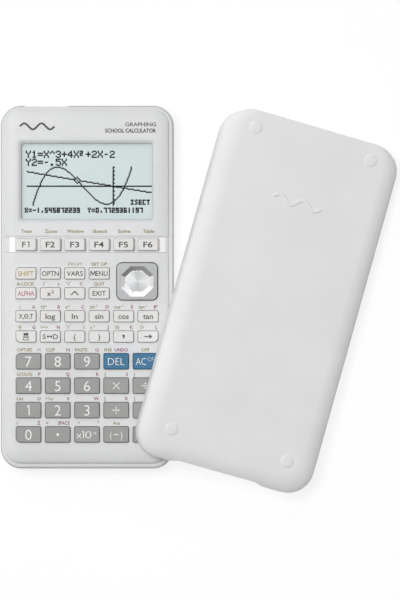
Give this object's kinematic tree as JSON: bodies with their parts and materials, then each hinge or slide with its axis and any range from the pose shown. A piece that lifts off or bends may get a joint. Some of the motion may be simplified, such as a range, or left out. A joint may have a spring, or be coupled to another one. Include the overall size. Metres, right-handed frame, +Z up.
{
  "type": "graphing calculator",
  "caption": "Graphing calculator lying on its back with a dot-matrix screen, sprung keys, a tilting cursor pad and a battery hatch, its slide-on hard cover leaning on its corner.",
  "frame": {"origin": "middle of the calculator's back face, on the surface it lies on", "axes": "+Z up out of the keys, +Y towards the display end, +X to the reader's right"},
  "size_m": [0.1917, 0.1867, 0.0313],
  "materials": {
    "case": "fine satin moulded plastic, white",
    "cover": "fine satin moulded plastic, white",
    "white_key": "smooth semi-gloss plastic, warm white, printed legends",
    "grey_key": "smooth semi-gloss plastic, mid grey, printed legends",
    "blue_key": "smooth semi-gloss plastic, steel blue, printed legends",
    "silver": "vacuum-plated plastic with a spun middle",
    "window": "clear scratch-resistant plastic",
    "lcd": "pale blue-green reflective liquid crystal",
    "board": "green solder resist on glass-fibre board",
    "rubber": "moulded silicone, light grey",
    "battery": "printed metal can"
  },
  "bodies": {
    "root": {"rear_case": "case", "front_case": "case", "circuit_board": "board", "keypad_mat": "rubber", "lcd_module": "lcd", "display_window": "window", "battery_1": "battery", "battery_2": "battery", "battery_3": "battery", "battery_4": "battery"},
    "slide_cover": {"slide_cover": "cover"},
    "battery_cover": {"battery_cover": "case"},
    "cursor_base": {"cursor_base": "rubber"},
    "cursor_pad": {"cursor_pad": "silver"},
    "key_f1": {"key_f1": "white_key"},
    "key_f2": {"key_f2": "white_key"},
    "key_f3": {"key_f3": "white_key"},
    "key_f4": {"key_f4": "white_key"},
    "key_f5": {"key_f5": "white_key"},
    "key_f6": {"key_f6": "white_key"},
    "key_shift": {"key_shift": "white_key"},
    "key_optn": {"key_optn": "white_key"},
    "key_vars": {"key_vars": "white_key"},
    "key_menu": {"key_menu": "white_key"},
    "key_alpha": {"key_alpha": "white_key"},
    "key_square": {"key_square": "white_key"},
    "key_power": {"key_power": "white_key"},
    "key_exit": {"key_exit": "white_key"},
    "key_variable": {"key_variable": "white_key"},
    "key_log": {"key_log": "white_key"},
    "key_ln": {"key_ln": "white_key"},
    "key_sin": {"key_sin": "white_key"},
    "key_cos": {"key_cos": "white_key"},
    "key_tan": {"key_tan": "white_key"},
    "key_fraction": {"key_fraction": "white_key"},
    "key_convert": {"key_convert": "white_key"},
    "key_open_bracket": {"key_open_bracket": "white_key"},
    "key_close_bracket": {"key_close_bracket": "white_key"},
    "key_comma": {"key_comma": "white_key"},
    "key_store": {"key_store": "white_key"},
    "key_7": {"key_7": "grey_key"},
    "key_8": {"key_8": "grey_key"},
    "key_9": {"key_9": "grey_key"},
    "key_del": {"key_del": "blue_key"},
    "key_ac": {"key_ac": "blue_key"},
    "key_4": {"key_4": "grey_key"},
    "key_5": {"key_5": "grey_key"},
    "key_6": {"key_6": "grey_key"},
    "key_multiply": {"key_multiply": "grey_key"},
    "key_divide": {"key_divide": "grey_key"},
    "key_1": {"key_1": "grey_key"},
    "key_2": {"key_2": "grey_key"},
    "key_3": {"key_3": "grey_key"},
    "key_plus": {"key_plus": "grey_key"},
    "key_minus": {"key_minus": "grey_key"},
    "key_0": {"key_0": "grey_key"},
    "key_point": {"key_point": "grey_key"},
    "key_exponent": {"key_exponent": "grey_key"},
    "key_negative": {"key_negative": "grey_key"},
    "key_exe": {"key_exe": "grey_key"}
  },
  "joints": [
    {"name": "slide_cover_lift", "type": "slide", "parent": "root", "child": "slide_cover", "axis": [0, 0, 1], "range_m": [0, 0.06]},
    {"name": "battery_cover_slide", "type": "slide", "parent": "root", "child": "battery_cover", "axis": [0, 1, 0], "range_m": [0, 0.064]},
    {"name": "cursor_tilt_up_down", "type": "hinge", "parent": "root", "child": "cursor_base", "pos_m": [0.0242, 0.00275, 0.0146], "axis": [1, 0, 0], "range_deg": [-4, 4], "stiffness_Nm_per_rad": 0.02},
    {"name": "cursor_tilt_left_right", "type": "hinge", "parent": "cursor_base", "child": "cursor_pad", "pos_m": [0.0242, 0.00275, 0.0146], "axis": [0, 1, 0], "range_deg": [-4, 4], "stiffness_Nm_per_rad": 0.02},
    {"name": "key_f1_press", "type": "slide", "parent": "root", "child": "key_f1", "axis": [0, 0, -1], "range_m": [0, 0.0012], "stiffness_N_per_m": 400, "springref_m": -0.0005},
    {"name": "key_f2_press", "type": "slide", "parent": "root", "child": "key_f2", "axis": [0, 0, -1], "range_m": [0, 0.0012], "stiffness_N_per_m": 400, "springref_m": -0.0005},
    {"name": "key_f3_press", "type": "slide", "parent": "root", "child": "key_f3", "axis": [0, 0, -1], "range_m": [0, 0.0012], "stiffness_N_per_m": 400, "springref_m": -0.0005},
    {"name": "key_f4_press", "type": "slide", "parent": "root", "child": "key_f4", "axis": [0, 0, -1], "range_m": [0, 0.0012], "stiffness_N_per_m": 400, "springref_m": -0.0005},
    {"name": "key_f5_press", "type": "slide", "parent": "root", "child": "key_f5", "axis": [0, 0, -1], "range_m": [0, 0.0012], "stiffness_N_per_m": 400, "springref_m": -0.0005},
    {"name": "key_f6_press", "type": "slide", "parent": "root", "child": "key_f6", "axis": [0, 0, -1], "range_m": [0, 0.0012], "stiffness_N_per_m": 400, "springref_m": -0.0005},
    {"name": "key_shift_press", "type": "slide", "parent": "root", "child": "key_shift", "axis": [0, 0, -1], "range_m": [0, 0.0012], "stiffness_N_per_m": 400, "springref_m": -0.0005},
    {"name": "key_optn_press", "type": "slide", "parent": "root", "child": "key_optn", "axis": [0, 0, -1], "range_m": [0, 0.0012], "stiffness_N_per_m": 400, "springref_m": -0.0005},
    {"name": "key_vars_press", "type": "slide", "parent": "root", "child": "key_vars", "axis": [0, 0, -1], "range_m": [0, 0.0012], "stiffness_N_per_m": 400, "springref_m": -0.0005},
    {"name": "key_menu_press", "type": "slide", "parent": "root", "child": "key_menu", "axis": [0, 0, -1], "range_m": [0, 0.0012], "stiffness_N_per_m": 400, "springref_m": -0.0005},
    {"name": "key_alpha_press", "type": "slide", "parent": "root", "child": "key_alpha", "axis": [0, 0, -1], "range_m": [0, 0.0012], "stiffness_N_per_m": 400, "springref_m": -0.0005},
    {"name": "key_square_press", "type": "slide", "parent": "root", "child": "key_square", "axis": [0, 0, -1], "range_m": [0, 0.0012], "stiffness_N_per_m": 400, "springref_m": -0.0005},
    {"name": "key_power_press", "type": "slide", "parent": "root", "child": "key_power", "axis": [0, 0, -1], "range_m": [0, 0.0012], "stiffness_N_per_m": 400, "springref_m": -0.0005},
    {"name": "key_exit_press", "type": "slide", "parent": "root", "child": "key_exit", "axis": [0, 0, -1], "range_m": [0, 0.0012], "stiffness_N_per_m": 400, "springref_m": -0.0005},
    {"name": "key_variable_press", "type": "slide", "parent": "root", "child": "key_variable", "axis": [0, 0, -1], "range_m": [0, 0.0012], "stiffness_N_per_m": 400, "springref_m": -0.0005},
    {"name": "key_log_press", "type": "slide", "parent": "root", "child": "key_log", "axis": [0, 0, -1], "range_m": [0, 0.0012], "stiffness_N_per_m": 400, "springref_m": -0.0005},
    {"name": "key_ln_press", "type": "slide", "parent": "root", "child": "key_ln", "axis": [0, 0, -1], "range_m": [0, 0.0012], "stiffness_N_per_m": 400, "springref_m": -0.0005},
    {"name": "key_sin_press", "type": "slide", "parent": "root", "child": "key_sin", "axis": [0, 0, -1], "range_m": [0, 0.0012], "stiffness_N_per_m": 400, "springref_m": -0.0005},
    {"name": "key_cos_press", "type": "slide", "parent": "root", "child": "key_cos", "axis": [0, 0, -1], "range_m": [0, 0.0012], "stiffness_N_per_m": 400, "springref_m": -0.0005},
    {"name": "key_tan_press", "type": "slide", "parent": "root", "child": "key_tan", "axis": [0, 0, -1], "range_m": [0, 0.0012], "stiffness_N_per_m": 400, "springref_m": -0.0005},
    {"name": "key_fraction_press", "type": "slide", "parent": "root", "child": "key_fraction", "axis": [0, 0, -1], "range_m": [0, 0.0012], "stiffness_N_per_m": 400, "springref_m": -0.0005},
    {"name": "key_convert_press", "type": "slide", "parent": "root", "child": "key_convert", "axis": [0, 0, -1], "range_m": [0, 0.0012], "stiffness_N_per_m": 400, "springref_m": -0.0005},
    {"name": "key_open_bracket_press", "type": "slide", "parent": "root", "child": "key_open_bracket", "axis": [0, 0, -1], "range_m": [0, 0.0012], "stiffness_N_per_m": 400, "springref_m": -0.0005},
    {"name": "key_close_bracket_press", "type": "slide", "parent": "root", "child": "key_close_bracket", "axis": [0, 0, -1], "range_m": [0, 0.0012], "stiffness_N_per_m": 400, "springref_m": -0.0005},
    {"name": "key_comma_press", "type": "slide", "parent": "root", "child": "key_comma", "axis": [0, 0, -1], "range_m": [0, 0.0012], "stiffness_N_per_m": 400, "springref_m": -0.0005},
    {"name": "key_store_press", "type": "slide", "parent": "root", "child": "key_store", "axis": [0, 0, -1], "range_m": [0, 0.0012], "stiffness_N_per_m": 400, "springref_m": -0.0005},
    {"name": "key_7_press", "type": "slide", "parent": "root", "child": "key_7", "axis": [0, 0, -1], "range_m": [0, 0.0012], "stiffness_N_per_m": 400, "springref_m": -0.0005},
    {"name": "key_8_press", "type": "slide", "parent": "root", "child": "key_8", "axis": [0, 0, -1], "range_m": [0, 0.0012], "stiffness_N_per_m": 400, "springref_m": -0.0005},
    {"name": "key_9_press", "type": "slide", "parent": "root", "child": "key_9", "axis": [0, 0, -1], "range_m": [0, 0.0012], "stiffness_N_per_m": 400, "springref_m": -0.0005},
    {"name": "key_del_press", "type": "slide", "parent": "root", "child": "key_del", "axis": [0, 0, -1], "range_m": [0, 0.0012], "stiffness_N_per_m": 400, "springref_m": -0.0005},
    {"name": "key_ac_press", "type": "slide", "parent": "root", "child": "key_ac", "axis": [0, 0, -1], "range_m": [0, 0.0012], "stiffness_N_per_m": 400, "springref_m": -0.0005},
    {"name": "key_4_press", "type": "slide", "parent": "root", "child": "key_4", "axis": [0, 0, -1], "range_m": [0, 0.0012], "stiffness_N_per_m": 400, "springref_m": -0.0005},
    {"name": "key_5_press", "type": "slide", "parent": "root", "child": "key_5", "axis": [0, 0, -1], "range_m": [0, 0.0012], "stiffness_N_per_m": 400, "springref_m": -0.0005},
    {"name": "key_6_press", "type": "slide", "parent": "root", "child": "key_6", "axis": [0, 0, -1], "range_m": [0, 0.0012], "stiffness_N_per_m": 400, "springref_m": -0.0005},
    {"name": "key_multiply_press", "type": "slide", "parent": "root", "child": "key_multiply", "axis": [0, 0, -1], "range_m": [0, 0.0012], "stiffness_N_per_m": 400, "springref_m": -0.0005},
    {"name": "key_divide_press", "type": "slide", "parent": "root", "child": "key_divide", "axis": [0, 0, -1], "range_m": [0, 0.0012], "stiffness_N_per_m": 400, "springref_m": -0.0005},
    {"name": "key_1_press", "type": "slide", "parent": "root", "child": "key_1", "axis": [0, 0, -1], "range_m": [0, 0.0012], "stiffness_N_per_m": 400, "springref_m": -0.0005},
    {"name": "key_2_press", "type": "slide", "parent": "root", "child": "key_2", "axis": [0, 0, -1], "range_m": [0, 0.0012], "stiffness_N_per_m": 400, "springref_m": -0.0005},
    {"name": "key_3_press", "type": "slide", "parent": "root", "child": "key_3", "axis": [0, 0, -1], "range_m": [0, 0.0012], "stiffness_N_per_m": 400, "springref_m": -0.0005},
    {"name": "key_plus_press", "type": "slide", "parent": "root", "child": "key_plus", "axis": [0, 0, -1], "range_m": [0, 0.0012], "stiffness_N_per_m": 400, "springref_m": -0.0005},
    {"name": "key_minus_press", "type": "slide", "parent": "root", "child": "key_minus", "axis": [0, 0, -1], "range_m": [0, 0.0012], "stiffness_N_per_m": 400, "springref_m": -0.0005},
    {"name": "key_0_press", "type": "slide", "parent": "root", "child": "key_0", "axis": [0, 0, -1], "range_m": [0, 0.0012], "stiffness_N_per_m": 400, "springref_m": -0.0005},
    {"name": "key_point_press", "type": "slide", "parent": "root", "child": "key_point", "axis": [0, 0, -1], "range_m": [0, 0.0012], "stiffness_N_per_m": 400, "springref_m": -0.0005},
    {"name": "key_exponent_press", "type": "slide", "parent": "root", "child": "key_exponent", "axis": [0, 0, -1], "range_m": [0, 0.0012], "stiffness_N_per_m": 400, "springref_m": -0.0005},
    {"name": "key_negative_press", "type": "slide", "parent": "root", "child": "key_negative", "axis": [0, 0, -1], "range_m": [0, 0.0012], "stiffness_N_per_m": 400, "springref_m": -0.0005},
    {"name": "key_exe_press", "type": "slide", "parent": "root", "child": "key_exe", "axis": [0, 0, -1], "range_m": [0, 0.0012], "stiffness_N_per_m": 400, "springref_m": -0.0005}
  ]
}
